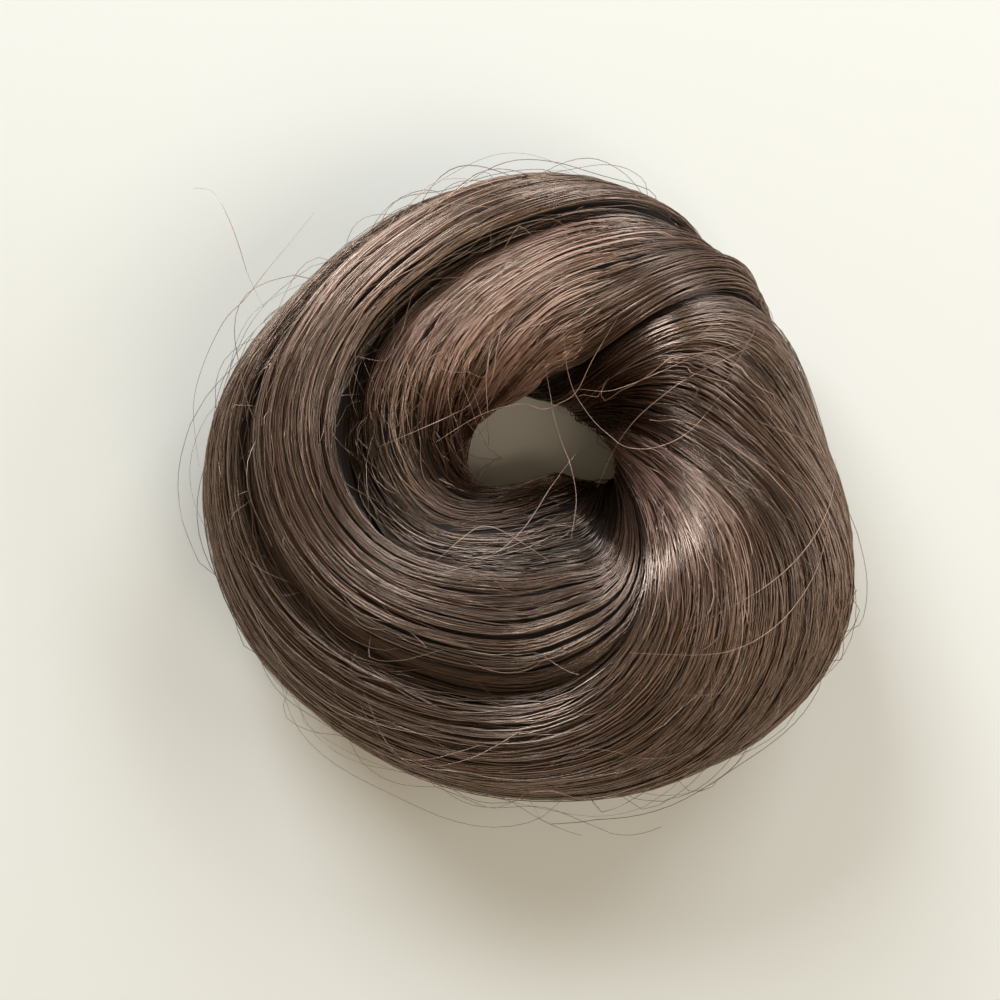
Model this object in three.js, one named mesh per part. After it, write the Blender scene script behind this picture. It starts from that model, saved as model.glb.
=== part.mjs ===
// Bun hairpiece: three locks of straight hair wound round an elastic loop into one soft, twisted ring.
// Millimetres, +Z up. The ring lies flat and its hole runs along Z.
import * as THREE from 'three';

// The elastic loop that the hair is wound round.
const ELASTIC_RING_RADIUS = 22;
const ELASTIC_THICKNESS = 4;
const ELASTIC_HEIGHT = 10.5;
const ELASTIC_RING_STEPS = 48;
const ELASTIC_SECTION_STEPS = 8;

// The section of the hair: how high it is widest at the outline and at the hole, and how far its round base
// is pressed flat by its own weight.
const OUTLINE_HEIGHT = 17;
const NECK_HEIGHT = 9;
const BASE_PRESSED = 2.2;

// Between two locks, and from the elastic to the corners of the facets round it.
const GAP = 0.64;
const ELASTIC_CLEARANCE = 0.55;
const ELASTIC_REACH = ELASTIC_THICKNESS / 2 + ELASTIC_CLEARANCE;

// At each valley the lock before it hangs over the next one. The valley leans by this angle on its way down,
// in degrees of the section for each millimetre of hair between the surface and the elastic.
const VALLEY_LEAN = 2.4;
const VALLEY_LEAN_MOST = 60;

// How deep the rounded lip of the upper lock starts, as a share of the valley.
const LIP_SHARE = 0.5;

// A lock that is squeezed narrower than this, in degrees of the section, sinks below its neighbours.
const SQUEEZED_WIDTH = 42;
const SQUEEZED_DEPTH = 0.3;

// Facets of each lock round the ring, and where its sides are cut between the valley's floor and the elastic.
const RING_STEPS = 60;
const SIDE_SHARES = [0.25, 0.55];

// The section every 30 degrees round the hole's centre, with 0 at the right and 90 at the top.
//   outer, inner  radius of the outline and of the hole
//   crest         height of the highest point
//   dish          how steeply the hair falls into the hole: 1 is a round shoulder, 3 a steep funnel
const SECTIONS = [
  { ring: 0, outer: 50.5, inner: 12.4, crest: 38, dish: 1.8 },
  { ring: 30, outer: 47.4, inner: 8.6, crest: 37, dish: 2.6 },
  { ring: 60, outer: 48.0, inner: 8.4, crest: 37, dish: 2.4 },
  { ring: 90, outer: 48.4, inner: 8.4, crest: 37, dish: 1.7 },
  { ring: 120, outer: 49.5, inner: 9.8, crest: 38, dish: 1.4 },
  { ring: 150, outer: 53.6, inner: 12.6, crest: 39, dish: 1.4 },
  { ring: 180, outer: 61.8, inner: 15.7, crest: 40, dish: 1.5 },
  { ring: 210, outer: 66.0, inner: 16.0, crest: 40, dish: 1.7 },
  { ring: 240, outer: 66.0, inner: 10.4, crest: 40, dish: 2.0 },
  { ring: 270, outer: 65.8, inner: 7.6, crest: 41, dish: 2.3 },
  { ring: 300, outer: 67.4, inner: 8.6, crest: 42, dish: 2.3 },
  { ring: 330, outer: 63.9, inner: 14.6, crest: 41, dish: 1.8 },
];

// The three valleys between the locks, at the same angles. Each is [where, depth]: where it lies on the
// section, in degrees from the outline up over the crest, and how deep it is as a share of the hair over the
// elastic. The lock named first hangs over the second.
const VALLEYS = [
  { ring: 0, right_outer: [-164, 0.22], outer_cross: [-125, 0.22], cross_right: [-28, 0.1] },
  { ring: 30, right_outer: [-116, 0.16], outer_cross: [-60, 0.16], cross_right: [2, 0.1] },
  { ring: 60, right_outer: [-68, 0.1], outer_cross: [5, 0.1], cross_right: [120, 0.3] },
  { ring: 90, right_outer: [-16, 0.08], outer_cross: [50, 0.24], cross_right: [150, 0.32] },
  { ring: 120, right_outer: [11, 0.09], outer_cross: [67, 0.36], cross_right: [176, 0.26] },
  { ring: 150, right_outer: [27, 0.12], outer_cross: [75, 0.38], cross_right: [202, 0.2] },
  { ring: 180, right_outer: [42, 0.12], outer_cross: [90, 0.36], cross_right: [222, 0.15] },
  { ring: 210, right_outer: [55, 0.13], outer_cross: [106, 0.33], cross_right: [238, 0.12] },
  { ring: 240, right_outer: [62, 0.18], outer_cross: [115, 0.3], cross_right: [252, 0.12] },
  { ring: 270, right_outer: [70, 0.24], outer_cross: [119, 0.28], cross_right: [266, 0.12] },
  { ring: 300, right_outer: [100, 0.3], outer_cross: [125, 0.28], cross_right: [278, 0.12] },
  { ring: 330, right_outer: [148, 0.3], outer_cross: [168, 0.26], cross_right: [297, 0.12] },
];
const WHERE = 0;
const DEPTH = 1;

// The locks. Each lies between two valleys: from low, where it is tucked under its neighbour, to high, where
// its lip hangs over the next lock.
//   tuck_span, lip_span  degrees of section over which each edge comes up to the surface
//   ribs, rib_depth      the bundles of strands that show across the lock, and their depth in millimetres
//   steps, inner_steps   facets across the lock at its surface and round the elastic
const LOCKS = [
  {
    name: 'hair_lock_right', low: 'cross_right', high: 'right_outer', low_turn: -360, color: '#6b5447',
    tuck_span: 42, lip_span: 16, ribs: 5, rib_depth: 0.7, steps: 24, inner_steps: 9,
  },
  {
    name: 'hair_lock_outer', low: 'right_outer', high: 'outer_cross', low_turn: 0, color: '#5d483c',
    tuck_span: 24, lip_span: 14, ribs: 2, rib_depth: 0.6, steps: 11, inner_steps: 4,
  },
  {
    name: 'hair_lock_crossing', low: 'outer_cross', high: 'cross_right', low_turn: 0, color: '#7a6152',
    tuck_span: 36, lip_span: 18, ribs: 3, rib_depth: 0.7, steps: 16, inner_steps: 7,
  },
];
const ELASTIC_COLOR = '#15130f';

// A column of a table at any angle: a smooth curve through its rows that closes on itself.
function along(rows, ringDeg, read) {
  const count = rows.length;
  const place = (((ringDeg % 360) + 360) % 360) / (360 / count);
  const row = Math.floor(place);
  const t = place - row;
  const at = (step) => read(rows[(row + step + count) % count]);
  const before = at(-1);
  const start = at(0);
  const end = at(1);
  const after = at(2);
  const bend = 2 * before - 5 * start + 4 * end - after;
  const twist = 3 * (start - end) + after - before;
  return start + 0.5 * t * (end - before + t * (bend + t * twist));
}

// A valley goes once round the section in one turn of the ring, so its angle less the ring's angle closes.
const valleyLag = (name, ringDeg) => along(VALLEYS, ringDeg, (row) => row[name][WHERE] - row.ring);
const valleyAngle = (name, ringDeg) => ringDeg + valleyLag(name, ringDeg);
const valleyDepth = (name, ringDeg) => along(VALLEYS, ringDeg, (row) => row[name][DEPTH]);

// A point of the section at one ring angle, and how thick the hair is between the surface and the elastic
// there. Depth runs from 0 at the surface to 1 at the elastic's clearance.
function sectionPoint(ringDeg, sectionDeg, depth) {
  const outer = along(SECTIONS, ringDeg, (row) => row.outer);
  const inner = along(SECTIONS, ringDeg, (row) => row.inner);
  const crest = along(SECTIONS, ringDeg, (row) => row.crest);
  const dish = along(SECTIONS, ringDeg, (row) => row.dish);
  const sine = Math.sin(THREE.MathUtils.degToRad(sectionDeg));
  const cosine = Math.cos(THREE.MathUtils.degToRad(sectionDeg));
  const widest = THREE.MathUtils.lerp(NECK_HEIGHT, OUTLINE_HEIGHT, (1 + cosine) / 2);
  const fall = 1 + (dish - 1) * THREE.MathUtils.smoothstep(-cosine, 0, 0.5);
  const rise = sine > 0 ? (crest - widest) * sine ** fall : (widest + BASE_PRESSED) * sine;
  const across = (outer + inner) / 2 + ((outer - inner) / 2) * cosine - ELASTIC_RING_RADIUS;
  const up = widest + rise - ELASTIC_HEIGHT;
  const surface = Math.hypot(across, up);
  const hair = surface - ELASTIC_REACH;
  const reach = ELASTIC_REACH + hair * (1 - depth);
  return {
    radius: ELASTIC_RING_RADIUS + (across / surface) * reach,
    height: Math.max(ELASTIC_HEIGHT + (up / surface) * reach, 0),
    hair,
  };
}

// Clockwise round the elastic in even steps, from one point on its clearance to another.
function elasticArc(from, to, steps) {
  const angle = (point) => Math.atan2(point.height - ELASTIC_HEIGHT, point.radius - ELASTIC_RING_RADIUS);
  const start = angle(from);
  const turn = (start - angle(to) + 4 * Math.PI) % (2 * Math.PI);
  return Array.from({ length: steps + 1 }, (_, i) => ({
    radius: ELASTIC_RING_RADIUS + ELASTIC_REACH * Math.cos(start - (turn * i) / steps),
    height: ELASTIC_HEIGHT + ELASTIC_REACH * Math.sin(start - (turn * i) / steps),
  }));
}

// The closed outline of one lock at one ring angle, anticlockwise: over its surface from the tucked edge to
// the lip, down the far side of the lip to the elastic, and back up its tucked side.
function lockOutline(lock, ringDeg) {
  const low = valleyAngle(lock.low, ringDeg) + lock.low_turn;
  const high = valleyAngle(lock.high, ringDeg);
  const width = high - low;
  const tuck = valleyDepth(lock.low, ringDeg);
  const overhang = valleyDepth(lock.high, ringDeg);
  const tuckSpan = Math.min(lock.tuck_span, 0.45 * width);
  const lipSpan = Math.min(lock.lip_span, 0.3 * width);
  const sunk = SQUEEZED_DEPTH * Math.max(1 - width / SQUEEZED_WIDTH, 0);

  const leanAt = (angle) => Math.min(VALLEY_LEAN * sectionPoint(ringDeg, angle, 0).hair, VALLEY_LEAN_MOST);
  const lowLean = leanAt(low);
  const highLean = leanAt(high);

  // A place across the lock, pushed in from its two valleys by half a gap, measured square to the valley.
  const place = (share, depth) => {
    const lean = lowLean + share * (highLean - lowLean);
    const angle = low + share * width - lean * depth;
    const here = sectionPoint(ringDeg, angle, depth);
    const beside = sectionPoint(ringDeg, angle + 1, depth);
    const below = sectionPoint(ringDeg, angle - lean * 0.02, depth + 0.02);
    const across = [beside.radius - here.radius, beside.height - here.height];
    const down = [below.radius - here.radius, below.height - here.height];
    const square = Math.abs(across[0] * down[1] - across[1] * down[0]) / Math.hypot(...down);
    const inset = Math.min(GAP / 2 / Math.max(square, 0.02), 0.3 * width) * (1 - 2 * share);
    return sectionPoint(ringDeg, angle + inset, depth);
  };
  const surfaceDepth = (share) => {
    const tucked = (tuck - sunk) * (1 - THREE.MathUtils.smoothstep(share * width, 0, tuckSpan));
    const roll = Math.max(1 - ((1 - share) * width) / lipSpan, 0);
    const rolled = (LIP_SHARE * overhang - sunk) * (1 - Math.sqrt(1 - roll * roll));
    const rib = (lock.rib_depth / 25) * Math.sin(Math.PI * lock.ribs * share) ** 2;
    return sunk + Math.max(tucked, 0) + Math.max(rolled, 0) + rib;
  };

  const outline = [];
  for (let i = 0; i <= lock.steps; i += 1) outline.push(place(i / lock.steps, surfaceDepth(i / lock.steps)));
  outline.push(place(1, Math.max(overhang, surfaceDepth(1) + 0.04)));
  for (const share of SIDE_SHARES) outline.push(place(1, overhang + (1 - overhang) * share));
  outline.push(...elasticArc(place(1, 1), place(0, 1), lock.inner_steps));
  const tuckedSide = outline.length - 1;
  for (const share of [...SIDE_SHARES].reverse()) outline.push(place(0, tuck + (1 - tuck) * share));
  return { outline, tuckedSide };
}

// Skins a lock's outline, which changes from angle to angle, into a closed ring. Its surface is cut into
// triangles along the shorter diagonals. Its tucked side is cut the other way from the far side of its lip,
// so that two facing sides run level.
function lockGeometry(lock) {
  const corners = [];
  const indices = [];
  const { outline, tuckedSide } = lockOutline(lock, 0);
  const points = outline.length;
  const span = (a, b) => corners[a].distanceToSquared(corners[b]);
  for (let i = 0; i < RING_STEPS; i += 1) {
    const ringDeg = (360 * i) / RING_STEPS;
    const ringRad = THREE.MathUtils.degToRad(ringDeg);
    for (const { radius, height } of lockOutline(lock, ringDeg).outline) {
      corners.push(new THREE.Vector3(radius * Math.cos(ringRad), radius * Math.sin(ringRad), height));
    }
  }
  for (let i = 0; i < RING_STEPS; i += 1) {
    const here = i * points;
    const next = ((i + 1) % RING_STEPS) * points;
    for (let j = 0; j < points; j += 1) {
      const k = (j + 1) % points;
      const shorter = span(here + j, next + k) < span(next + j, here + k);
      if (j < lock.steps ? shorter : j < tuckedSide) {
        indices.push(here + j, next + j, next + k, here + j, next + k, here + k);
      } else {
        indices.push(here + j, next + j, here + k, next + j, next + k, here + k);
      }
    }
  }
  const geometry = new THREE.BufferGeometry().setFromPoints(corners).setIndex(indices);
  geometry.computeVertexNormals();
  return geometry;
}

function mesh(name, geometry, color, roughness) {
  const made = new THREE.Mesh(geometry, new THREE.MeshStandardMaterial({ color, roughness }));
  made.name = name;
  return made;
}

const part = new THREE.Group();
part.name = 'bun_hairpiece';

const elastic = new THREE.TorusGeometry(
  ELASTIC_RING_RADIUS,
  ELASTIC_THICKNESS / 2,
  ELASTIC_SECTION_STEPS,
  ELASTIC_RING_STEPS,
);
elastic.translate(0, 0, ELASTIC_HEIGHT);
part.add(mesh('elastic_band', elastic, ELASTIC_COLOR, 0.8));

for (const lock of LOCKS) part.add(mesh(lock.name, lockGeometry(lock), lock.color, 0.55));

// The origin is under the middle of the whole part.
const box = new THREE.Box3().setFromObject(part);
const middle = box.getCenter(new THREE.Vector3());
for (const piece of part.children) piece.geometry.translate(-middle.x, -middle.y, -box.min.z);

export default part;
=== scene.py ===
# %% [markdown]
# # A bun hairpiece: straight hair wound into a ring
# The object is a soft ring of ash-brown hair. Three locks are wound round a hidden elastic loop: one fans
# over the right side, one runs along the left and the inner bottom, and one crosses the top and dives into
# the hole. The solids of the locks come in as a fixed frame. This lesson dresses them in thousands of
# strands.

import math

import bpy
import numpy as np
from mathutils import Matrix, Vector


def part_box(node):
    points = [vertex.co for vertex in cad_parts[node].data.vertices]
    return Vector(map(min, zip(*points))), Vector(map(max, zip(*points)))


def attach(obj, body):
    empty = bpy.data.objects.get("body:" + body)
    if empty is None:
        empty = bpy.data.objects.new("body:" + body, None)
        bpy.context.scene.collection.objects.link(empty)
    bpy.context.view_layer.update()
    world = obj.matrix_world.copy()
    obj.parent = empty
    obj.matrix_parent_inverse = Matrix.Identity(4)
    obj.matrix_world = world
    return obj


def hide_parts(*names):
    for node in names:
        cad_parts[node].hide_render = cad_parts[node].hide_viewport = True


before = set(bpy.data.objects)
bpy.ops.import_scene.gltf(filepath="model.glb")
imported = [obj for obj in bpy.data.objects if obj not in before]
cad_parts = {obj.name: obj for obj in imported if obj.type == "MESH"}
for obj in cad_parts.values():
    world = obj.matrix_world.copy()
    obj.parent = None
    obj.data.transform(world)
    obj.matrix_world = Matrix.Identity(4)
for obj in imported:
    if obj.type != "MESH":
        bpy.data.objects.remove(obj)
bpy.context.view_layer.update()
MM = 0.001

elastic_low, elastic_high = (np.array(corner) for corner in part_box("elastic_band"))
hole_centre = (elastic_low + elastic_high) / 2

# %% [markdown]
# ## The shape as two short tables
# Walk once round the hole and cut the ring every 30 degrees. Each cut is a rounded section: an outer and an
# inner radius, a crest height, and how steeply it falls into the hole. Three valleys part the locks on that
# section, and each valley goes once round the section in one turn of the ring. That is what makes the ring
# look wound. It could be sculpted by hand, but two tables are short, and one changed row moves a lock and
# all its strands together.
#
# The numbers are the sizes that the solids were made from, in millimetres and degrees, and depths are shares
# of the hair's thickness. Three things are softer here, as hair is: the crossing lock is fuller beside the
# hole, the valley along its left side is deeper, and the right lock's edge is less deep at the bottom.

# %% Tables of the ring
SECTION_COLUMNS = ("ring", "outer", "inner", "crest", "dish")
SECTION_ROWS = (
    (0, 50.5, 12.4, 38, 1.8),
    (30, 47.4, 8.6, 37, 2.6),
    (60, 48.0, 8.4, 37, 1.5),
    (90, 48.4, 8.4, 38, 0.8),
    (120, 49.5, 9.8, 39, 0.6),
    (150, 53.6, 12.6, 40, 0.8),
    (180, 61.8, 15.7, 40, 1.3),
    (210, 66.0, 16.0, 40, 1.7),
    (240, 66.0, 10.4, 40, 2.0),
    (270, 65.8, 7.6, 41, 2.3),
    (300, 67.4, 8.6, 42, 2.3),
    (330, 63.9, 14.6, 41, 1.8),
)
VALLEY_COLUMNS = (
    "ring", "right_outer", "right_outer_depth", "outer_cross", "outer_cross_depth",
    "cross_right", "cross_right_depth",
)
VALLEY_ROWS = (
    (0, -164, 0.22, -125, 0.22, -28, 0.1),
    (30, -116, 0.16, -60, 0.16, 2, 0.1),
    (60, -68, 0.1, 5, 0.1, 120, 0.3),
    (90, -16, 0.08, 50, 0.24, 150, 0.32),
    (120, 11, 0.09, 67, 0.36, 176, 0.26),
    (150, 27, 0.12, 75, 0.44, 202, 0.2),
    (180, 42, 0.12, 90, 0.46, 222, 0.15),
    (210, 55, 0.13, 106, 0.4, 238, 0.12),
    (240, 62, 0.18, 115, 0.3, 252, 0.12),
    (270, 70, 0.18, 119, 0.28, 266, 0.12),
    (300, 100, 0.2, 125, 0.28, 278, 0.12),
    (330, 148, 0.22, 168, 0.26, 297, 0.12),
)
SECTIONS = dict(zip(SECTION_COLUMNS, np.array(SECTION_ROWS, float).T))
VALLEYS = dict(zip(VALLEY_COLUMNS, np.array(VALLEY_ROWS, float).T))

LOCKS = {
    "right": dict(node="hair_lock_right", low="cross_right", high="right_outer", low_turn=-360.0,
                  tuck_span=42.0, tuck_share=0.45, tuck_dig=1.0, lip_span=16.0, ribs=5, rib_depth=0.7),
    "outer": dict(node="hair_lock_outer", low="right_outer", high="outer_cross", low_turn=0.0,
                  tuck_span=24.0, tuck_share=0.45, tuck_dig=1.0, lip_span=14.0, ribs=2, rib_depth=0.6),
    "crossing": dict(node="hair_lock_crossing", low="outer_cross", high="cross_right", low_turn=0.0,
                     tuck_span=64.0, tuck_share=0.62, tuck_dig=1.2, lip_span=18.0, ribs=3, rib_depth=0.7),
}
print(len(SECTION_ROWS), "sections,", len(VALLEY_ROWS), "valley rows,", len(LOCKS), "locks")


# %% Read the tables at any angle
def along(values, ring_deg):
    """A column at any ring angle: a smooth curve through its rows that closes on itself."""
    count = len(values)
    place = (ring_deg % 360.0) / (360.0 / count)
    row = np.floor(place).astype(int)
    t = place - row
    before, start, end, after = (values[(row + step) % count] for step in (-1, 0, 1, 2))
    bend = 2 * before - 5 * start + 4 * end - after
    twist = 3 * (start - end) + after - before
    return start + 0.5 * t * (end - before + t * (bend + t * twist))


def valley_angle(name, ring_deg):
    """Where a valley lies on the section, in degrees from the outline side."""
    return ring_deg + along(VALLEYS[name] - VALLEYS["ring"], ring_deg)


def valley_depth(name, ring_deg):
    """How deep a valley is, as a share of the hair's thickness."""
    return along(VALLEYS[name + "_depth"], ring_deg)


LEFT_SIDE_DEG = np.float64(180.0)
print("outline on the left, mm from the hole's middle", along(SECTIONS["outer"], LEFT_SIDE_DEG))

# %% A point of the section
ELASTIC_RING_RADIUS = 22.0
ELASTIC_THICKNESS = 4.0
ELASTIC_HEIGHT = 10.5
ELASTIC_CLEARANCE = 0.55
ELASTIC_REACH = ELASTIC_THICKNESS / 2 + ELASTIC_CLEARANCE
OUTLINE_HEIGHT = 17.0
NECK_HEIGHT = 9.0
BASE_PRESSED = 2.2
DISH_SPAN = 0.5


def smoothstep(x):
    """0 to 1 with a soft start and a soft end."""
    x = np.clip(x, 0.0, 1.0)
    return x * x * (3 - 2 * x)


def section_point(ring_deg, section_deg, depth):
    """Radius, height and hair thickness at a place of the section: depth 0 is the surface, 1 the elastic."""
    outer, inner, crest, dish = (along(SECTIONS[name], ring_deg) for name in SECTION_COLUMNS[1:])
    sine = np.sin(np.radians(section_deg))
    cosine = np.cos(np.radians(section_deg))
    widest = NECK_HEIGHT + (OUTLINE_HEIGHT - NECK_HEIGHT) * (1 + cosine) / 2
    fall = 1 + (dish - 1) * smoothstep(-cosine / DISH_SPAN)
    rise = np.where(sine > 0, (crest - widest) * np.abs(sine) ** fall, (widest + BASE_PRESSED) * sine)
    across = (outer + inner) / 2 + (outer - inner) / 2 * cosine - ELASTIC_RING_RADIUS
    up = widest + rise - ELASTIC_HEIGHT
    surface = np.hypot(across, up)
    hair = surface - ELASTIC_REACH
    reach = ELASTIC_REACH + hair * (1 - depth)
    radius = ELASTIC_RING_RADIUS + across / surface * reach
    height = np.maximum(ELASTIC_HEIGHT + up / surface * reach, 0.0)
    return radius, height, hair


print("crest on the left, mm: radius, height, hair", np.round(section_point(LEFT_SIDE_DEG, 90.0, 0.0), 1))

# %% A place on a lock
VALLEY_LEAN = 2.4
VALLEY_LEAN_MOST = 60.0
LIP_SHARE = 0.5
LIP_WIDEST_SHARE = 0.3
SQUEEZED_WIDTH = 42.0
SQUEEZED_DEPTH = 0.3
RIBBED_HAIR = 25


def valley_lean(ring_deg, section_deg):
    """How far a valley leans over on its way down to the elastic, in degrees of the section."""
    return np.minimum(VALLEY_LEAN * section_point(ring_deg, section_deg, 0.0)[2], VALLEY_LEAN_MOST)


def lock_place(lock, ring_deg, share, depth):
    """Radius, height and hair thickness at a share of the way across a lock, from its tuck to its lip."""
    low = valley_angle(lock["low"], ring_deg) + lock["low_turn"]
    high = valley_angle(lock["high"], ring_deg)
    low_lean = valley_lean(ring_deg, low)
    lean = low_lean + share * (valley_lean(ring_deg, high) - low_lean)
    return section_point(ring_deg, low + share * (high - low) - lean * depth, depth)


def surface_depth(lock, ring_deg, share):
    """How deep the lock's own surface lies: tucked at one edge, rolled at the other, ribbed between."""
    low = valley_angle(lock["low"], ring_deg) + lock["low_turn"]
    width = valley_angle(lock["high"], ring_deg) - low
    sunk = SQUEEZED_DEPTH * np.maximum(1 - width / SQUEEZED_WIDTH, 0)
    tuck_span = np.minimum(lock["tuck_span"], lock["tuck_share"] * width)
    lip_span = np.minimum(lock["lip_span"], LIP_WIDEST_SHARE * width)
    tuck = lock["tuck_dig"] * valley_depth(lock["low"], ring_deg)
    tucked = (tuck - sunk) * (1 - smoothstep(share * width / tuck_span))
    roll = np.clip(1 - (1 - share) * width / lip_span, 0, 1)
    rolled = (LIP_SHARE * valley_depth(lock["high"], ring_deg) - sunk) * (1 - np.sqrt(1 - roll * roll))
    rib = lock["rib_depth"] / RIBBED_HAIR * np.sin(np.pi * lock["ribs"] * share) ** 2
    return sunk + np.maximum(tucked, 0) + np.maximum(rolled, 0) + rib


def to_frame(ring_deg, radius, height):
    """Ring angle, radius and height in millimetres to metres in the shared frame."""
    ring = np.radians(ring_deg)
    x = hole_centre[0] + MM * radius * np.cos(ring)
    y = hole_centre[1] + MM * radius * np.sin(ring)
    return np.stack(np.broadcast_arrays(x, y, MM * height), axis=-1)


for key, lock in LOCKS.items():
    middle_height = lock_place(lock, LEFT_SIDE_DEG, 0.5, 0.0)[1]
    print(key, "lock's middle on the left is", round(float(middle_height), 1), "mm up")

# %% [markdown]
# ## The body of each lock
# A real lock is solid hair all the way to the elastic. Here a closed body fills that space, a little under
# the surface, so that strands lie on hair and never on air. Its tones are darker than the strands', as
# painted shade between them. A copy of the solid would fill it too, but a body made ring by ring gets a UV
# map that follows the hair: u runs along the lock and v round its outline, so a streak in v is a strand.

# %% Build the bodies
BODY_RING_STEPS = 180
BODY_ACROSS = 42
BODY_INNER = 8
BODY_INNER_DEPTH = 0.97
BODY_SIDES = (0.25, 0.55)
BODY_UNDER = 0.5
BODY_GAP = 0.012
THINNEST_HAIR = 2.0
UV_MAP = "OFBake"


def body_outline(lock, ring_deg):
    """Closed outline of a lock, anticlockwise in radius and height, for every ring angle at once."""
    ring = ring_deg[:, None]
    share = np.linspace(BODY_GAP, 1 - BODY_GAP, BODY_ACROSS)[None, :]
    inner_share = np.linspace(1 - 2 * BODY_GAP, 2 * BODY_GAP, BODY_INNER)[None, :]
    depth = surface_depth(lock, ring, share)
    hair = lock_place(lock, ring, share, depth)[2]
    tuck = lock["tuck_dig"] * valley_depth(lock["low"], ring)
    overhang = valley_depth(lock["high"], ring)
    parts = [lock_place(lock, ring, share, depth + BODY_UNDER / np.maximum(hair, THINNEST_HAIR))]
    parts += [lock_place(lock, ring, 1 - BODY_GAP, overhang + (1 - overhang) * step) for step in BODY_SIDES]
    parts.append(lock_place(lock, ring, inner_share, BODY_INNER_DEPTH))
    parts += [lock_place(lock, ring, BODY_GAP, tuck + (1 - tuck) * step) for step in BODY_SIDES[::-1]]
    radius = np.concatenate([part[0] + 0 * ring for part in parts], axis=1)
    height = np.concatenate([part[1] + 0 * ring for part in parts], axis=1)
    return to_frame(ring, radius, height)


def closed_ring(name, points):
    """A closed mesh from rings of points, with a UV map along the ring and round the outline."""
    rings, around = points.shape[:2]
    i, j = np.meshgrid(np.arange(rings), np.arange(around), indexing="ij")
    i_next, j_next = (i + 1) % rings, (j + 1) % around
    corners = [i * around + j, i_next * around + j, i_next * around + j_next, i * around + j_next]
    quads = np.stack(corners, axis=-1).reshape(-1, 4)
    mesh = bpy.data.meshes.new(name)
    mesh.from_pydata(points.reshape(-1, 3), [], quads.tolist())
    u = np.stack([i, i + 1, i + 1, i], axis=-1) / rings
    v = np.stack([j, j, j + 1, j + 1], axis=-1) / around
    layer = mesh.uv_layers.new(name=UV_MAP)
    layer.data.foreach_set("uv", np.stack([u, v], axis=-1).astype(np.float32).ravel())
    mesh.polygons.foreach_set("use_smooth", np.ones(len(quads), bool))
    mesh.update()
    piece = bpy.data.objects.new(name, mesh)
    bpy.context.scene.collection.objects.link(piece)
    return piece


bodies = {}
for key, lock in LOCKS.items():
    ring_deg = np.arange(BODY_RING_STEPS) * 360.0 / BODY_RING_STEPS
    bodies[key] = closed_ring(key + "_lock_body", body_outline(lock, ring_deg))
    print(bodies[key].name, len(bodies[key].data.polygons), "faces")

# %% [markdown]
# ## Hair colour
# The hair is a cool ash brown with copper glints. No two strands match: a tone runs from near black to pale
# brown, and each strand takes one place on it. Strands carry a UV map whose u is that tone and whose v runs
# from root to tip, so the colour belongs to the strand and not to where it lies. Blender's own hair shader
# is made for curves and isn't kept in an exported mesh, so a plain shader with a strong, warm-tinted gloss
# gives the sheen along the strands.


# %% Helpers for node trees
def node(tree, kind, inputs=None, **settings):
    """Adds a node. An input is a value, or the socket that it is linked from."""
    made = tree.nodes.new(kind)
    for name, value in settings.items():
        setattr(made, name, value)
    for key, value in (inputs or {}).items():
        if isinstance(value, bpy.types.NodeSocket):
            tree.links.new(value, made.inputs[key])
        else:
            made.inputs[key].default_value = value
    return made


def calc(tree, operation, a, b=0.0, c=0.0, clamp=False):
    """One step of arithmetic as a node, given as its output socket."""
    made = node(tree, "ShaderNodeMath", {0: a, 1: b, 2: c}, operation=operation, use_clamp=clamp)
    return made.outputs[0]


def srgb(red, green, blue):
    """A colour named on the usual 0 to 255 scale, as the linear values that shaders use."""
    parts = [value / 255 for value in (red, green, blue)]
    return [p / 12.92 if p <= 0.04045 else ((p + 0.055) / 1.055) ** 2.4 for p in parts] + [1.0]


def new_finish(name, roughness):
    """A new material, with its node tree and the shader in it."""
    material = bpy.data.materials.new(name)
    material.use_nodes = True
    shader = material.node_tree.nodes["Principled BSDF"]
    shader.inputs["Roughness"].default_value = roughness
    return material, material.node_tree, shader


# The palest tones are mostly worn by the rows of painted sheen.
HAIR_TONES = (
    (0.0, srgb(20, 15, 12)),
    (0.25, srgb(46, 35, 28)),
    (0.5, srgb(73, 54, 45)),
    (0.62, srgb(102, 70, 53)),
    (0.7, srgb(100, 75, 64)),
    (0.86, srgb(152, 112, 94)),
    (1.0, srgb(187, 153, 139)),
)


def tone_ramp(tree, fac):
    """The hair's colours from the darkest tone to the palest."""
    ramp = node(tree, "ShaderNodeValToRGB", {"Fac": fac})
    points = ramp.color_ramp.elements
    while len(points) < len(HAIR_TONES):
        points.new(0.5)
    for point, (place, color) in zip(points, HAIR_TONES):
        point.position = place
        point.color = color
    return ramp.outputs["Color"]


print("hair tones", len(HAIR_TONES))

# %% Strand and body materials
STREAK_TONE = 0.12
BUNDLE_STREAKS = (5.0, 420.0, 1.0)
BUNDLE_TONE_SPREAD = 1.4
BUNDLE_PAINTED_SHADE_START = -0.58


def strand_material():
    """One strand: its tone from the UV map, with small changes along it, and a satin gloss."""
    material, tree, shader = new_finish("ash_brown_strand", roughness=0.26)
    place = node(tree, "ShaderNodeUVMap", uv_map=UV_MAP).outputs["UV"]
    own_tone = node(tree, "ShaderNodeSeparateXYZ", {0: place}).outputs["X"]
    streak = node(tree, "ShaderNodeTexNoise", {"Vector": place, "Scale": 9.0, "Detail": 2.0})
    shift = calc(tree, "MULTIPLY_ADD", streak.outputs["Fac"], 2 * STREAK_TONE, -STREAK_TONE)
    tone = calc(tree, "ADD", own_tone, shift, clamp=True)
    tree.links.new(tone_ramp(tree, tone), shader.inputs["Base Color"])
    shader.inputs["IOR"].default_value = 2.2
    shader.inputs["Specular IOR Level"].default_value = 1.0
    shader.inputs["Specular Tint"].default_value = (1.0, 0.76, 0.62, 1.0)
    return material


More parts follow.
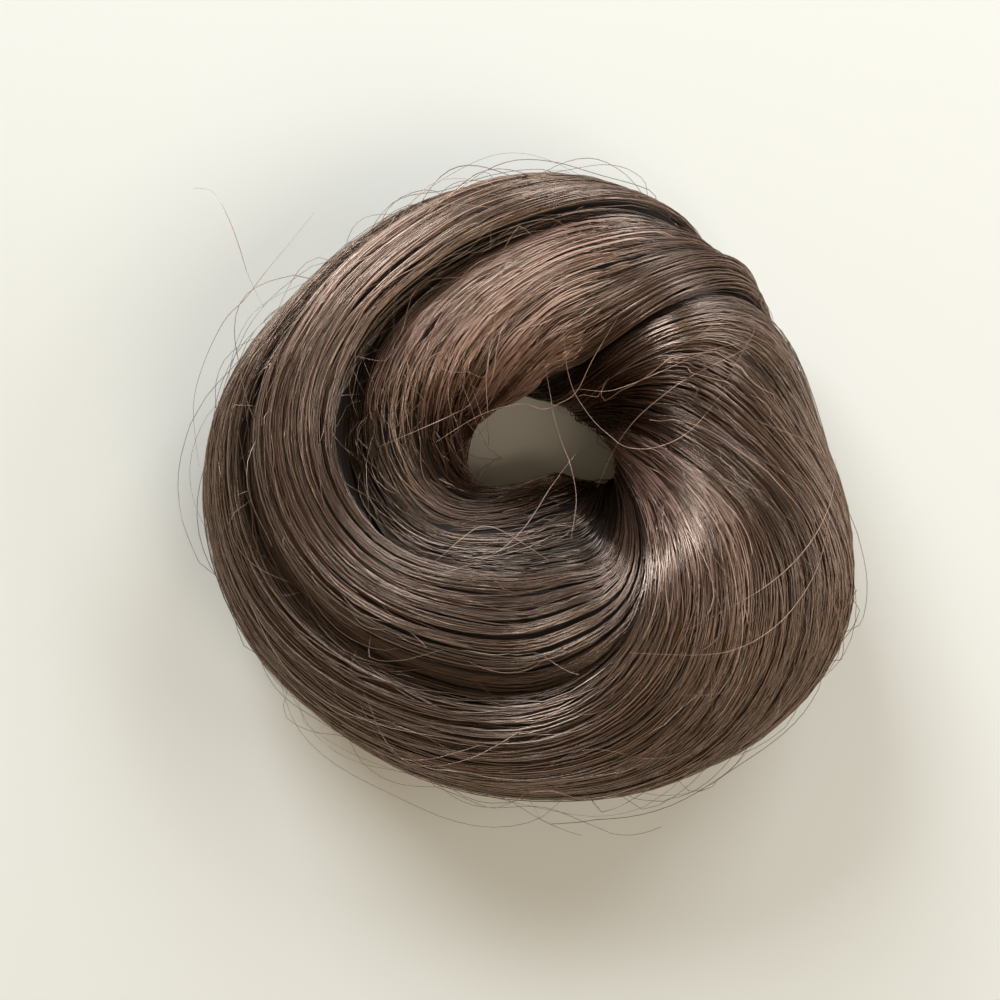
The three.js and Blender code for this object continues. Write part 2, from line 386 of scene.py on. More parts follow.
def body_material():
    """A whole bundle: long streaks and fine grooves that run along the lock, in dark tones that paint the
    shade between strands.
    """
    material, tree, shader = new_finish("ash_brown_bundle_painted_shade", roughness=0.6)
    place = node(tree, "ShaderNodeUVMap", uv_map=UV_MAP).outputs["UV"]
    stretch = node(tree, "ShaderNodeMapping", {"Vector": place, "Scale": BUNDLE_STREAKS}).outputs["Vector"]
    noise = node(tree, "ShaderNodeTexNoise", {"Vector": stretch, "Scale": 1.0, "Detail": 3.0})
    streak = noise.outputs["Fac"]
    # Mostly dark tones: painted shade under and between the strands.
    tone = calc(tree, "MULTIPLY_ADD", streak, BUNDLE_TONE_SPREAD, BUNDLE_PAINTED_SHADE_START, clamp=True)
    groove = node(tree, "ShaderNodeBump", {"Height": streak, "Strength": 0.6, "Distance": 0.4 * MM})
    tree.links.new(tone_ramp(tree, tone), shader.inputs["Base Color"])
    tree.links.new(groove.outputs["Normal"], shader.inputs["Normal"])
    return material


STRAND_FINISH = strand_material()
BODY_FINISH = body_material()
for body in bodies.values():
    body.data.materials.append(BODY_FINISH)
print("finishes", STRAND_FINISH.name, BODY_FINISH.name)

# %% [markdown]
# ## A sheet to comb the strands over
# Every strand follows its lock. A thin sheet of each lock's surface, with u once round the ring and v across
# the lock, gives Geometry Nodes the place and the normal under any strand. Past the lip the sheet goes on
# down the lip's wall, so that no bare wall shows beside a valley. It also runs a little past a full turn, so
# that a strand may pass the start of the ring. Strands could be drawn one by one instead, but a sheet takes
# any number of them. It is only a guide, and is deleted afterwards.

# %% Guide sheets
SHEET_RING_STEPS = 360
SHEET_ACROSS = 64
SHEET_SPARE_DEG = 6.0
LIP_WALL_SHARE = 0.12
LIP_WALL_DEPTH = 0.3


def guide_sheet(key):
    """A lock's surface as an open mesh, with the UV map that strands are combed by."""
    lock = LOCKS[key]
    ring = np.linspace(-SHEET_SPARE_DEG, 360 + SHEET_SPARE_DEG, SHEET_RING_STEPS)[:, None]
    share = np.linspace(0.0, 1.0 + LIP_WALL_SHARE, SHEET_ACROSS)[None, :]
    on_top = np.minimum(share, 1.0)
    down_wall = LIP_WALL_DEPTH * (share - on_top) / LIP_WALL_SHARE
    radius, height, _ = lock_place(lock, ring, on_top, surface_depth(lock, ring, on_top) + down_wall)
    points = to_frame(ring, radius, height)
    i, j = np.meshgrid(np.arange(SHEET_RING_STEPS - 1), np.arange(SHEET_ACROSS - 1), indexing="ij")
    corner_i = np.stack([i, i + 1, i + 1, i], axis=-1)
    corner_j = np.stack([j, j, j + 1, j + 1], axis=-1)
    quads = (corner_i * SHEET_ACROSS + corner_j).reshape(-1, 4)
    mesh = bpy.data.meshes.new(key + "_sheet")
    mesh.from_pydata(points.reshape(-1, 3), [], quads.tolist())
    turn_and_share = np.stack([ring[corner_i, 0] / 360.0, share[0, corner_j]], axis=-1)
    layer = mesh.uv_layers.new(name="comb")
    layer.data.foreach_set("uv", turn_and_share.astype(np.float32).ravel())
    return mesh


sheets = {key: guide_sheet(key) for key in LOCKS}
print("guide sheets", [len(sheet.polygons) for sheet in sheets.values()])

# %% [markdown]
# ## Strands by Geometry Nodes
# One line is copied once for each strand. Each copy draws its own numbers: where across the lock it lies,
# where round the ring its middle is and how far it reaches. Strands are drawn towards the middle of the
# bundle they belong to, by an amount that changes along the ring, so bundles open and close as combed hair
# does. Both ends dip under the surface, so no cut end shows. Hair deep in a valley gets less light, so
# strands in the tuck and down the lip's wall take a darker tone: painted shade.
#
# Blender's hair particles would comb the locks too, but they stay curves, and an exported model loses them.
# Here each strand ends as a thin tube with three sides.

# %% Inputs of the strand tree
STRAND_COUNTS = ("Strands", "Points", "Seed")
STRAND_SIZES = (
    "Share from", "Share to", "Middle at tuck", "Middle at lip", "Length at tuck", "Length at lip",
    "Scatter at tuck", "Scatter at lip", "Bundles", "Gather", "Drift", "Lift", "Rise", "Thickness",
    "Free tips", "Tone shift and painted sheen",
)
FINISH_INPUT = (("Finish", "NodeSocketMaterial"),)
STRAND_INPUTS = (
    *((label, "NodeSocketInt") for label in STRAND_COUNTS),
    *((label, "NodeSocketFloat") for label in STRAND_SIZES),
    *FINISH_INPUT,
)


def new_tree(name, inputs):
    """A Geometry Nodes tree with named inputs, and the sockets that give them."""
    tree = bpy.data.node_groups.new(name, "GeometryNodeTree")
    tree.interface.new_socket("Geometry", in_out="INPUT", socket_type="NodeSocketGeometry")
    for label, kind in inputs:
        tree.interface.new_socket(label, in_out="INPUT", socket_type=kind)
    tree.interface.new_socket("Geometry", in_out="OUTPUT", socket_type="NodeSocketGeometry")
    return tree, node(tree, "NodeGroupInput").outputs


print("strand inputs", len(STRAND_INPUTS))

# %% Numbers for each strand
DRAWS = (
    "share", "middle", "length", "straying", "level", "radius", "bundle tone", "tone", "free tip", "rise",
)
NOISE_COLUMNS = ("waves", "unlike", "layer")
NOISES = {
    "closing": (6.0, 5.3, 0.0),
    "sway": (4.0, 7.0, 3.0),
    "own": (2.0, 3.7, 8.0),
    "swell": (5.0, 2.9, 5.0),
}


def random_for(tree, given, which, draw, low=0.0, high=1.0):
    """A random number for each strand or bundle. Every kind of draw has its own step, added to the seed."""
    seed = calc(tree, "ADD", given["Seed"], DRAWS.index(draw) + 1)
    made = node(tree, "FunctionNodeRandomValue", {2: low, 3: high, "ID": which, "Seed": seed},
                data_type="FLOAT")
    return made.outputs[1]


def noise_at(tree, kind, lengthwise, neighbour):
    """Smooth noise from -1 to 1: waves lengthwise, and unlike from one neighbour to the next."""
    noise = dict(zip(NOISE_COLUMNS, NOISES[kind]))
    x = calc(tree, "MULTIPLY", lengthwise, noise["waves"])
    y = calc(tree, "MULTIPLY", neighbour, noise["unlike"])
    place = node(tree, "ShaderNodeCombineXYZ", {"X": x, "Y": y, "Z": noise["layer"]}).outputs[0]
    made = node(tree, "ShaderNodeTexNoise", {"Vector": place, "Scale": 1.0, "Detail": 0.0})
    return calc(tree, "MULTIPLY_ADD", made.outputs[0], 2.0, -1.0)


def between(tree, low, high, share):
    """A share of the way from one value to another."""
    return calc(tree, "MULTIPLY_ADD", calc(tree, "SUBTRACT", high, low), share, low)


def held(tree, value, low, high):
    """A value that is kept between two limits."""
    return calc(tree, "MINIMUM", calc(tree, "MAXIMUM", value, low), high)


print("draws for each strand", len(DRAWS), "and kinds of noise", len(NOISES))

# %% From a path to a thin tube
TUBE_SIDES = 3
AROUND_TONE = 0.01


def resampled(tree, curve, count):
    """The same curve with this many points, evenly along it."""
    made = node(tree, "GeometryNodeResampleCurve", {"Curve": curve, "Count": count}, mode="COUNT")
    return made.outputs["Curve"]


def stored(tree, geometry, name, value, kind="FLOAT", domain="POINT"):
    """The geometry with a value kept on it under a name."""
    made = node(tree, "GeometryNodeStoreNamedAttribute", {"Geometry": geometry, "Name": name},
                data_type=kind, domain=domain)
    tree.links.new(value, made.inputs["Value"])
    return made.outputs["Geometry"]


def named(tree, name, kind="FLOAT"):
    """A value that was kept under a name."""
    made = node(tree, "GeometryNodeInputNamedAttribute", {"Name": name}, data_type=kind)
    return made.outputs["Attribute"]


def thicken(tree, curves, radius, tone, factor, finish):
    """Turns strands into thin tubes with closed ends, a tone map and the hair finish."""
    curves = stored(tree, curves, "tone", tone)
    curves = stored(tree, curves, "factor", factor)
    circle = node(tree, "GeometryNodeCurvePrimitiveCircle", {"Resolution": TUBE_SIDES, "Radius": 1.0})
    turn = node(tree, "GeometryNodeSplineParameter").outputs["Factor"]
    section = stored(tree, circle.outputs["Curve"], "around", turn)
    tube = node(tree, "GeometryNodeCurveToMesh",
                {"Curve": curves, "Profile Curve": section, "Scale": radius, "Fill Caps": True})
    column = calc(tree, "MULTIPLY_ADD", named(tree, "around"), AROUND_TONE, named(tree, "tone"))
    place = node(tree, "ShaderNodeCombineXYZ", {"X": column, "Y": named(tree, "factor")}).outputs[0]
    mesh = stored(tree, tube.outputs["Mesh"], UV_MAP, place, "FLOAT2", "CORNER")
    for name in ("tone", "factor", "around"):
        without = node(tree, "GeometryNodeRemoveAttribute", {"Geometry": mesh, "Name": name})
        mesh = without.outputs["Geometry"]
    mesh = node(tree, "GeometryNodeSetShadeSmooth", {"Geometry": mesh}).outputs["Geometry"]
    mesh = node(tree, "GeometryNodeRealizeInstances", {"Geometry": mesh}).outputs["Geometry"]
    mesh = node(tree, "GeometryNodeSetMaterial", {"Geometry": mesh, "Material": finish}).outputs["Geometry"]
    node(tree, "NodeGroupOutput", {"Geometry": mesh})


print("sides of a strand", TUBE_SIDES)

# %% Where a strand lies
LENGTH_RANGE = (0.6, 1.15)
GATHER_SWING = 0.9
GATHER_MIDDLE = 0.45
SWAY_SHARE = 0.02
STRAY_POWER = 4.0
STRAY_LEAST = 0.1
EDGE_SHARE = 0.004


def strand_course(tree, given, which, t):
    """A strand's share across the lock, the turn of each of its points, and the bundle it belongs to."""
    share = random_for(tree, given, which, "share", given["Share from"], given["Share to"])
    middle = between(tree, given["Middle at tuck"], given["Middle at lip"], share)
    scatter = between(tree, given["Scatter at tuck"], given["Scatter at lip"], share)
    aside = random_for(tree, given, which, "middle", -1.0, 1.0)
    middle = calc(tree, "MULTIPLY_ADD", scatter, aside, middle)
    length = between(tree, given["Length at tuck"], given["Length at lip"], share)
    length = calc(tree, "MULTIPLY", length, random_for(tree, given, which, "length", *LENGTH_RANGE))
    turn = calc(tree, "MULTIPLY_ADD", calc(tree, "SUBTRACT", t, 0.5), length, middle)
    bundle = calc(tree, "FLOOR", calc(tree, "MULTIPLY", share, given["Bundles"]))
    return share, turn, bundle


def combed_share(tree, given, which, share, turn, bundle, own):
    """The share across the lock at each point: drawn into the bundle, swaying, and straying a little."""
    bundle_middle = calc(tree, "DIVIDE", calc(tree, "ADD", bundle, 0.5), given["Bundles"])
    closing = noise_at(tree, "closing", turn, bundle)
    closing = calc(tree, "MULTIPLY_ADD", closing, GATHER_SWING, GATHER_MIDDLE, clamp=True)
    share_now = between(tree, share, bundle_middle, calc(tree, "MULTIPLY", given["Gather"], closing))
    sway = noise_at(tree, "sway", turn, share)
    share_now = calc(tree, "MULTIPLY_ADD", sway, SWAY_SHARE, share_now)
    straying = calc(tree, "POWER", random_for(tree, given, which, "straying"), STRAY_POWER)
    drift = calc(tree, "MULTIPLY", given["Drift"], calc(tree, "ADD", straying, STRAY_LEAST))
    share_now = calc(tree, "MULTIPLY_ADD", own, drift, share_now)
    return held(tree, share_now, EDGE_SHARE, 1 - EDGE_SHARE + LIP_WALL_SHARE)


print("strand lengths vary by", LENGTH_RANGE)

# %% How far a strand stands off, and its tone
END_SHARE = 0.1
END_DIP = 0.8 * MM
SWELL_SHARE = 0.8
RISE_POWER = 1.5
BUNDLE_TONES = (0.15, 0.75)
OWN_TONES = (0.02, 0.97)
OWN_TONE_SHARE = 0.55
TONE_LIMITS = (0.02, 0.98)
DEEP_PAINTED_SHADE = 0.8
LIP_PAINTED_SHADE = (0.98, 1.06)
TUCK_PAINTED_SHADE = (0.26, 0.0)


def ramped(tree, value, start, end, kind="LINEAR"):
    """0 where a value is at the start, 1 where it is at the end."""
    made = node(tree, "ShaderNodeMapRange", {"Value": value, "From Min": start, "From Max": end},
                interpolation_type=kind)
    return made.outputs["Result"]


def strand_lift(tree, given, which, t, turn, bundle, own):
    """How far each point stands off the lock, and how far it is out of a dipping end, from 0 to 1."""
    free_tip = calc(tree, "LESS_THAN", random_for(tree, given, which, "free tip"), given["Free tips"])
    from_end = calc(tree, "MINIMUM", t, calc(tree, "ADD", calc(tree, "SUBTRACT", 1.0, t), free_tip))
    shown = ramped(tree, from_end, 0.0, END_SHARE, "SMOOTHSTEP")
    level = random_for(tree, given, which, "level")
    swell = noise_at(tree, "swell", turn, bundle)
    lift = calc(tree, "MULTIPLY", given["Lift"], calc(tree, "MULTIPLY_ADD", swell, SWELL_SHARE, level))
    rise = calc(tree, "POWER", random_for(tree, given, which, "rise"), RISE_POWER)
    rise = calc(tree, "MULTIPLY", given["Rise"], rise)
    arch = calc(tree, "MULTIPLY", rise, calc(tree, "MULTIPLY", shown, own))
    lift = calc(tree, "ADD", lift, calc(tree, "ABSOLUTE", arch))
    return between(tree, -END_DIP, lift, shown), shown


def strand_tone(tree, given, which, share, bundle):
    """A strand's tone: part its bundle's and part its own, with painted shade where it lies deep, and
    shifted by its row.
    """
    bundle_tone = random_for(tree, given, bundle, "bundle tone", *BUNDLE_TONES)
    own_tone = random_for(tree, given, which, "tone", *OWN_TONES)
    tone = between(tree, bundle_tone, own_tone, OWN_TONE_SHARE)
    # Painted shade: strands down the lip's wall and in the tuck get a darker tone.
    painted_shade = calc(tree, "MAXIMUM", ramped(tree, share, *LIP_PAINTED_SHADE), ramped(tree, share, *TUCK_PAINTED_SHADE))
    tone = calc(tree, "MULTIPLY_ADD", painted_shade, -DEEP_PAINTED_SHADE, tone)
    # The row's shift: a high one paints the sheen as paler strands.
    return held(tree, calc(tree, "ADD", tone, given["Tone shift and painted sheen"]), *TONE_LIMITS)


print("ends dip, mm", END_DIP / MM)

# %% Strand tree
PATH_POINTS = 64
RADIUS_RANGE = (0.3, 0.7)
TIP_RADIUS = 0.3


def sampled(tree, given, field, place):
    """What the guide sheet has at a place of its comb map."""
    made = node(tree, "GeometryNodeSampleUVSurface", data_type="FLOAT_VECTOR")
    tree.links.new(given["Geometry"], made.inputs["Mesh"])
    tree.links.new(field, made.inputs["Value"])
    tree.links.new(named(tree, "comb", "FLOAT_VECTOR"), made.inputs["Source UV Map"])
    tree.links.new(place, made.inputs["Sample UV"])
    return made.outputs["Value"]


def strand_spot(tree, given, turn, share_now, lift):
    """The place of each point: on the lock, moved out by its lift, and never under the table."""
    place = node(tree, "ShaderNodeCombineXYZ", {"X": calc(tree, "FRACT", turn), "Y": share_now}).outputs[0]
    on_lock = sampled(tree, given, node(tree, "GeometryNodeInputPosition").outputs[0], place)
    outward = sampled(tree, given, node(tree, "GeometryNodeInputNormal").outputs[0], place)
    offset = node(tree, "ShaderNodeVectorMath", {0: outward, "Scale": lift}, operation="SCALE").outputs[0]
    spot = node(tree, "ShaderNodeVectorMath", {0: on_lock, 1: offset}, operation="ADD").outputs[0]
    split = node(tree, "ShaderNodeSeparateXYZ", {0: spot}).outputs
    above = calc(tree, "MAXIMUM", split["Z"], given["Thickness"])
    return node(tree, "ShaderNodeCombineXYZ", {"X": split["X"], "Y": split["Y"], "Z": above}).outputs[0]


def strand_tree():
    """Copies a line for each strand, lays it on its lock and makes it a tube."""
    tree, given = new_tree("combed_strands", STRAND_INPUTS)
    line = resampled(tree, node(tree, "GeometryNodeCurvePrimitiveLine").outputs["Curve"], PATH_POINTS)
    copies = node(tree, "GeometryNodeDuplicateElements", {"Geometry": line, "Amount": given["Strands"]},
                  domain="SPLINE").outputs
    which = copies["Duplicate Index"]
    t = node(tree, "GeometryNodeSplineParameter").outputs["Factor"]
    share, turn, bundle = strand_course(tree, given, which, t)
    own = noise_at(tree, "own", t, which)
    share_now = combed_share(tree, given, which, share, turn, bundle, own)
    lift, shown = strand_lift(tree, given, which, t, turn, bundle, own)
    spot = strand_spot(tree, given, turn, share_now, lift)
    paths = node(tree, "GeometryNodeSetPosition", {"Geometry": copies["Geometry"], "Position": spot})
    curves = resampled(tree, paths.outputs["Geometry"], given["Points"])
    own_radius = random_for(tree, given, which, "radius", *RADIUS_RANGE)
    radius = calc(tree, "MULTIPLY", given["Thickness"], own_radius)
    radius = calc(tree, "MULTIPLY", radius, calc(tree, "MULTIPLY_ADD", shown, 1 - TIP_RADIUS, TIP_RADIUS))
    tone = strand_tone(tree, given, which, share, bundle)
    thicken(tree, curves, radius, tone, t, given["Finish"])
    return tree


STRAND_TREE = strand_tree()
print("strand tree", len(STRAND_TREE.nodes), "nodes")

# %% [markdown]
# ## Combing the locks
# Each row of the table is one pass of the comb over one lock: how many strands, which share of the lock's
# width they cover, and where round the ring they lie, in turns. Most strands cover what is seen from above,
# and a few rows cover the low sides. Where a lock turns towards the light its hair shines in a band, and
# the three rows with the palest tones paint that sheen as pale strands. One pass could cover a whole lock,
# but then neither the low sides nor the bands could be combed by themselves.


# %% Comb the locks
def grow(name, guide, tree, values):
    """Runs a tree over a guide mesh and keeps the result as a plain mesh object."""
    maker = bpy.data.objects.new(name + "_maker", guide)
    bpy.context.scene.collection.objects.link(maker)
    modifier = maker.modifiers.new("strands", "NODES")
    modifier.node_group = tree
    sockets = {item.name: item.identifier for item in tree.interface.items_tree if item.in_out == "INPUT"}
    for label, value in values.items():
        modifier[sockets[label]] = value
    maker.update_tag()
    graph = bpy.context.evaluated_depsgraph_get()
    mesh = bpy.data.meshes.new_from_object(maker.evaluated_get(graph))
    mesh.name = name
    bpy.data.objects.remove(maker)
    piece = bpy.data.objects.new(name, mesh)
    bpy.context.scene.collection.objects.link(piece)
    triangles = sum(len(face.vertices) - 2 for face in mesh.polygons)
    print(name, triangles, "triangles")
    return piece


COMB_COLUMNS = (
    "lock", "Strands", "Share from", "Share to", "Middle at tuck", "Middle at lip",
    "Scatter at tuck", "Scatter at lip", "Length at tuck", "Length at lip",
    "Bundles", "Gather", "Tone shift and painted sheen", "Seed",
)
COMB_ROWS = (
    # The right lock: two passes over its fan, then the left outline and the low side at the top.
    ("right", 1060, 0.07, 1.08, 1.07, 0.66, 0.11, 0.22, 0.26, 0.38, 19.0, 0.75, -0.09, 11),
    ("right", 1060, 0.07, 1.08, 1.04, 0.66, 0.13, 0.24, 0.26, 0.38, 34.0, 0.7, -0.03, 23),
    ("right", 560, 0.14, 0.80, 0.64, 0.56, 0.28, 0.28, 0.36, 0.36, 21.0, 0.6, -0.04, 29),
    ("right", 460, 0.12, 0.98, 0.30, 0.30, 0.17, 0.17, 0.30, 0.30, 23.0, 0.5, -0.04, 31),
    # The outer lock: its whole course, then the low side at the right.
    ("outer", 1250, 0.01, 1.10, 0.54, 0.50, 0.26, 0.30, 0.40, 0.42, 10.0, 0.75, -0.09, 37),
    ("outer", 170, 0.02, 1.08, 0.12, 0.12, 0.10, 0.10, 0.24, 0.24, 10.0, 0.5, -0.06, 41),
    # The crossing lock: the low side at the right, its course, its crest in pale strands as painted sheen,
    # and the wall of the hole.
    ("crossing", 200, 0.01, 1.02, 0.06, 0.08, 0.08, 0.08, 0.22, 0.22, 14.0, 0.5, 0.0, 57),
    ("crossing", 560, 0.01, 1.02, 0.56, 0.25, 0.42, 0.10, 0.36, 0.28, 14.0, 0.7, 0.0, 51),
    ("crossing", 860, 0.14, 1.00, 0.35, 0.31, 0.08, 0.06, 0.21, 0.20, 18.0, 0.5, 0.75, 53),
    ("crossing", 170, 0.01, 0.40, 0.72, 0.66, 0.14, 0.12, 0.30, 0.26, 9.0, 0.5, -0.05, 61),
    # Bands of painted sheen, as pale strands, on the right and the outer lock.
    ("right", 300, 0.68, 1.02, 0.93, 0.93, 0.05, 0.05, 0.16, 0.16, 34.0, 0.6, 0.7, 59),
    ("outer", 180, 0.30, 1.00, 0.37, 0.37, 0.05, 0.05, 0.18, 0.18, 10.0, 0.6, 0.62, 67),
)
COMB_FIXED = {
    "Points": 22, "Drift": 0.1, "Lift": 1.3 * MM, "Rise": 0.0, "Thickness": 0.2 * MM,
    "Free tips": 0.0, "Finish": STRAND_FINISH,
}


def comb(row, fixed, ending):
    """One pass over one lock, from a row of a table and the values that all its rows share."""
    values = dict(zip(COMB_COLUMNS, row))
    key = values.pop("lock")
    return grow(key + ending, sheets[key], STRAND_TREE, {**values, **fixed})


strands = [comb(row, COMB_FIXED, f"_lock_strands_{number}") for number, row in enumerate(COMB_ROWS)]

# %% [markdown]
# ## Hairs that have come loose
# Some hairs stand off the ring: they cross the others at an angle and leave the outline. They could be drawn
# by hand, but there are hundreds, so the same tree makes them, with more drift, a rise off the surface and
# tips that don't all dip back in.

# %% Loose hairs
LOOSE_ROWS = (
    ("right", 130, 0.30, 0.95, 1.0, 0.66, 0.22, 0.30, 0.16, 0.22, 9.0, 0.0, 0.1, 71),
    ("outer", 90, 0.05, 0.95, 0.48, 0.48, 0.24, 0.24, 0.16, 0.20, 5.0, 0.0, 0.1, 83),
    ("crossing", 80, 0.02, 0.55, 0.45, 0.38, 0.14, 0.12, 0.22, 0.22, 7.0, 0.0, 0.3, 97),
)
LOOSE_FIXED = {
    "Points": 30, "Drift": 0.4, "Lift": 1.2 * MM, "Rise": 18.0 * MM, "Thickness": 0.12 * MM,
    "Free tips": 0.5, "Finish": STRAND_FINISH,
}
strands += [comb(row, LOOSE_FIXED, "_loose_hairs") for row in LOOSE_ROWS]

# %% [markdown]
# ## Long single hairs
# A few long hairs are easy to pick out one by one: loops that hang over the hole and the right side, and two
# that leave the outline at the upper left. A random draw would not put them there, so each is a short list
# of places, in millimetres from the hole's middle and up from the table, with a smooth curve through them.

# %% Single hairs
SINGLE_HAIRS = (
    ((2, 26, 37), (3.5, 11, 36), (7, 4, 36), (11, 0, 36), (14, -2, 37), (19, -2, 38), (25, 1, 38),
     (31, 8, 38)),
    ((14, 24, 37), (8, 14, 37), (5, 8, 35), (2, 6, 33), (-1, 5, 31), (-5, 6, 31), (-12, 4, 33),
     (-20, -1, 37)),
    ((3, 7, 30), (5, 8.5, 33), (10, 8, 36), (14, 9, 37), (20, 11.5, 38), (28, 15, 38), (36, 17, 37)),
    ((-1, 15, 33), (0.5, 7, 31), (1, 4, 30), (2.5, -1, 30), (4, -5, 31), (5, -11, 33), (4, -18, 36)),
    ((5, -3, 28), (0.5, -9, 29), (-2, -13, 31), (-5, -17, 34), (-10, -21, 38), (-18, -24, 41)),
    ((36, 16, 37), (25, 10.5, 38), (20, 7, 37), (15.5, 3, 35), (12, -2, 32), (9, -9, 27)),
    ((-30, -2, 41), (-21, 2, 38), (-17, 4, 35), (-14, 6, 32), (-11, 11, 33)),
    ((-20, -22, 41), (-14, -17, 37), (-11, -16, 35), (-7, -17.5, 35), (0, -22, 39)),
    ((24, -34, 43), (37, -27, 42), (45, -20, 40), (50, -12, 36), (52, -4, 30)),
    ((14, -38, 43), (30, -38, 43), (40, -33, 42), (47, -24, 39), (50, -14, 36)),
    ((-66, 47, 16), (-62, 46, 18), (-59, 41, 20), (-57, 36, 21), (-55, 30, 22), (-52, 24, 24)),
    ((-43, 42, 20), (-47, 37, 20), (-52, 31, 20), (-56, 26, 19), (-60, 22, 18), (-64, 14, 17),
     (-66, 6, 16), (-65, -5, 16)),
)
SINGLE_RADIUS = 0.09 * MM
SINGLE_TIP_RADIUS = 0.3
SINGLE_TAPER = 1.4
SINGLE_POINTS = 40
SINGLE_TONE = 0.9
SINGLE_TONE_GAIN = 0.1


def single_tree():
    """Smooth curves through the places, thinner towards both ends."""
    tree, given = new_tree("single_hairs", FINISH_INPUT)
    paths = node(tree, "GeometryNodeMeshToCurve", {"Mesh": given["Geometry"]}).outputs["Curve"]
    smooth = node(tree, "GeometryNodeCurveSplineType", {"Curve": paths}, spline_type="CATMULL_ROM")
    curves = resampled(tree, smooth.outputs["Curve"], SINGLE_POINTS)
    t = node(tree, "GeometryNodeSplineParameter").outputs["Factor"]
    from_end = calc(tree, "MINIMUM", t, calc(tree, "SUBTRACT", 1.0, t))
    taper = calc(tree, "MULTIPLY_ADD", from_end, SINGLE_TAPER, SINGLE_TIP_RADIUS)
    radius = calc(tree, "MULTIPLY", taper, SINGLE_RADIUS)
    tone = calc(tree, "MULTIPLY_ADD", from_end, SINGLE_TONE_GAIN, SINGLE_TONE)
    thicken(tree, curves, radius, tone, t, given["Finish"])
    return tree


def hair_paths():
    """A guide mesh of bare edges, one chain for each single hair."""
    points = [point for hair in SINGLE_HAIRS for point in hair]
    edges, first = [], 0
    for hair in SINGLE_HAIRS:
        edges += [(first + step, first + step + 1) for step in range(len(hair) - 1)]
        first += len(hair)
    places = np.array(points) * MM + np.array([hole_centre[0], hole_centre[1], 0.0])
    mesh = bpy.data.meshes.new("hair_paths")
    mesh.from_pydata(places.tolist(), edges, [])
    return mesh


single_paths = hair_paths()
strands.append(grow("single_hairs", single_paths, single_tree(), {"Finish": STRAND_FINISH}))
for guide in (*sheets.values(), single_paths):
    bpy.data.meshes.remove(guide)

# %% [markdown]
# ## The elastic
# The loop inside is a covered elastic: a soft core in a knitted sleeve whose ribs run round it at a slant.
# The sleeve could be woven thread by thread, but the hair hides it, so a ring with slanted ribs is enough.

# %% Ribbed elastic
ELASTIC_RING_STEPS = 180
ELASTIC_AROUND = 18
ELASTIC_RIBS = 6
ELASTIC_RIB_SHARE = 0.05
ELASTIC_TURNS = 60


def elastic_points():
    """Rings of points round the loop, with ribs that wind along it."""
    ring = np.arange(ELASTIC_RING_STEPS)[:, None] * 360.0 / ELASTIC_RING_STEPS
    turn = np.arange(ELASTIC_AROUND)[None, :] * 2 * np.pi / ELASTIC_AROUND
    rib = np.cos(ELASTIC_RIBS * turn + ELASTIC_TURNS * np.radians(ring))
    reach = ELASTIC_THICKNESS / 2 * (1 - ELASTIC_RIB_SHARE + ELASTIC_RIB_SHARE * rib)
    return to_frame(ring, ELASTIC_RING_RADIUS + reach * np.cos(turn), ELASTIC_HEIGHT + reach * np.sin(turn))


def elastic_material():
    """Matt black knit."""
    material, tree, shader = new_finish("black_elastic", roughness=0.75)
    place = node(tree, "ShaderNodeUVMap", uv_map=UV_MAP).outputs["UV"]
    knit = node(tree, "ShaderNodeTexWave", {"Vector": place, "Scale": 40.0, "Distortion": 2.0})
    ramp = node(tree, "ShaderNodeValToRGB", {"Fac": knit.outputs["Fac"]})
    ramp.color_ramp.elements[0].color = srgb(14, 13, 13)
    ramp.color_ramp.elements[1].color = srgb(38, 36, 36)
    tree.links.new(ramp.outputs["Color"], shader.inputs["Base Color"])
    return material


elastic = closed_ring("elastic_cord", elastic_points())
elastic.data.materials.append(elastic_material())
print("elastic", len(elastic.data.polygons), "faces")

# %% [markdown]
# ## Riding on the frame
# Hair bends everywhere and has no hinge, so nothing here moves and every piece rides on the one body. Each
# lock's body stands for its solid, and the ribbed ring for the elastic's. The strands lie over them.

# %% Hand the pieces to the frame
for key, body in bodies.items():
    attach(body, "root")
    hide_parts(LOCKS[key]["node"])
for piece in strands:
    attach(piece, "root")
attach(elastic, "root")
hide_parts("elastic_band")
print("pieces", len(bodies) + len(strands) + 1)

# %% [markdown]
# ## Floor, light and camera
# The ring is seen from straight above on a pale floor. Cool window light comes in low from the top left, and
# weaker from the top right, so the soft shadow falls below the ring. Two weak lights from the right open up
# the shaded side, and a warm room fills the rest. One large lamp would be simpler, but hair shows its sheen
# only where a light lies across the strands, so each band of sheen needs a light of its own.

# %% Floor
FLOOR_SIZE = 3.0


def pale_floor():
    """One large matt square."""
    half = FLOOR_SIZE / 2
    corners = [(-half, -half, 0), (half, -half, 0), (half, half, 0), (-half, half, 0)]
    mesh = bpy.data.meshes.new("floor")
    mesh.from_pydata(corners, [], [(0, 1, 2, 3)])
    floor = bpy.data.objects.new("floor", mesh)
    bpy.context.scene.collection.objects.link(floor)
    material, _, shader = new_finish("pale_floor", roughness=0.9)
    shader.inputs["Base Color"].default_value = srgb(248, 247, 241)
    mesh.materials.append(material)
    return floor


pale_floor()
print("floor, m", FLOOR_SIZE)

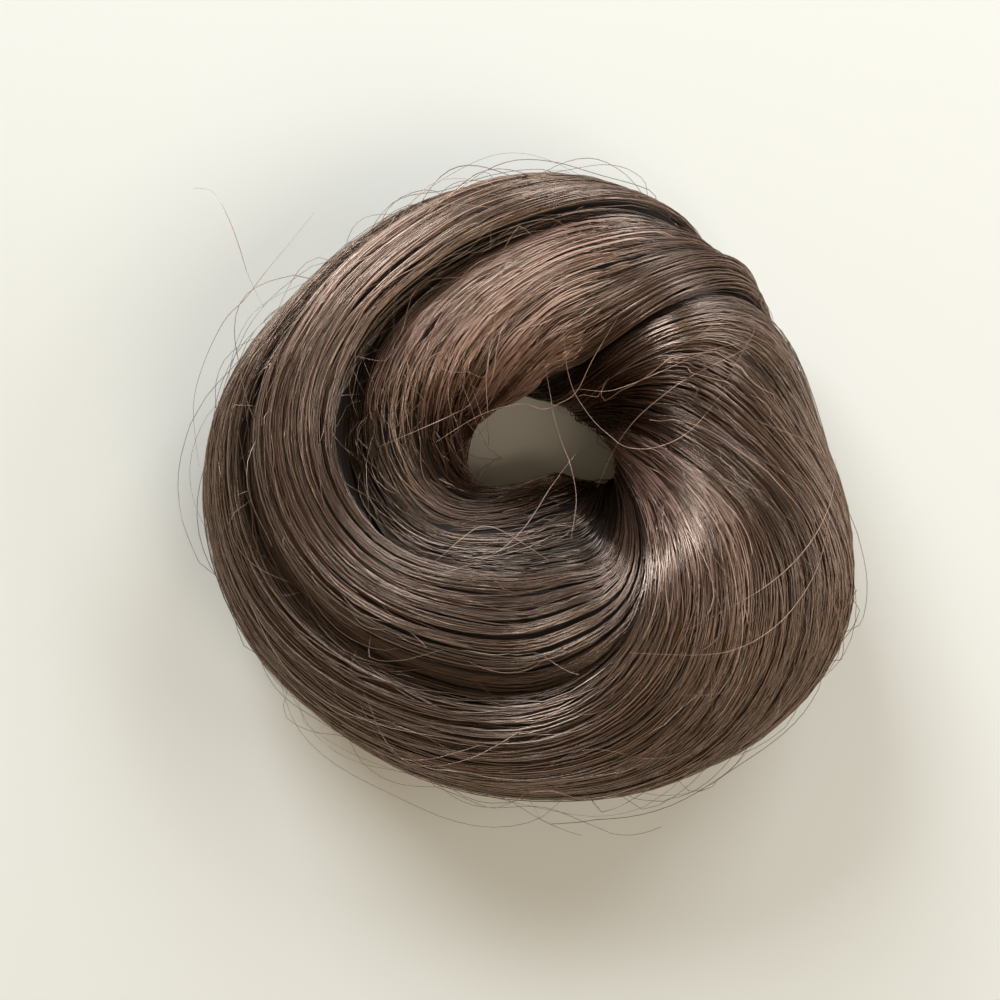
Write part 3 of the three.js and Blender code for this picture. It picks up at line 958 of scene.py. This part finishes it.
# %% Lights
LAMP_SIZE = 0.8
LAMPS = (
    ("window", (-0.65, 1.25, 0.75), 21.5, (0.88, 0.95, 1.0)),
    ("window_right", (0.71, 1.22, 0.75), 11.5, (0.88, 0.95, 1.0)),
    ("room_right", (1.41, 0.0, 0.75), 6.2, (0.92, 0.96, 1.0)),
    ("room_low", (0.73, -0.73, 1.23), 5.8, (1.0, 0.88, 0.7)),
)
ROOM_COLOR = (1.0, 0.84, 0.58, 1.0)
ROOM_STRENGTH = 0.21


def soft_lamp(name, place, watts, color):
    """A square lamp that faces the foot of the ring."""
    lamp = bpy.data.lights.new(name, "AREA")
    lamp.size = LAMP_SIZE
    lamp.energy = watts
    lamp.color = color
    holder = bpy.data.objects.new(name, lamp)
    bpy.context.scene.collection.objects.link(holder)
    x, y, z = place
    holder.location = place
    holder.rotation_euler = (math.atan2(math.hypot(x, y), z), 0.0, math.atan2(y, x) + math.pi / 2)


for lamp in LAMPS:
    soft_lamp(*lamp)
world = bpy.data.worlds.new("soft_room")
world.use_nodes = True
world.node_tree.nodes["Background"].inputs["Color"].default_value = ROOM_COLOR
world.node_tree.nodes["Background"].inputs["Strength"].default_value = ROOM_STRENGTH
bpy.context.scene.world = world
bpy.context.scene.view_settings.view_transform = "Standard"
print("lamps", len(LAMPS))

# %% Camera straight above
PIXELS_PER_MM = 5.4
PICTURE_PIXELS = 1000
PICTURE_MIDDLE_MM = (-5.4, -2.4)
CAMERA_HEIGHT_MM = 420.0
WIDEST_PLANE_MM = 20.0
SENSOR_MM = 36.0

camera_data = bpy.data.cameras.new("above")
camera_data.sensor_width = SENSOR_MM
camera_data.lens = SENSOR_MM * (CAMERA_HEIGHT_MM - WIDEST_PLANE_MM) / (PICTURE_PIXELS / PIXELS_PER_MM)
camera = bpy.data.objects.new("above", camera_data)
camera.location = (PICTURE_MIDDLE_MM[0] * MM, PICTURE_MIDDLE_MM[1] * MM, CAMERA_HEIGHT_MM * MM)
bpy.context.scene.collection.objects.link(camera)
bpy.context.scene.camera = camera
print("lens, mm", round(camera_data.lens, 1))
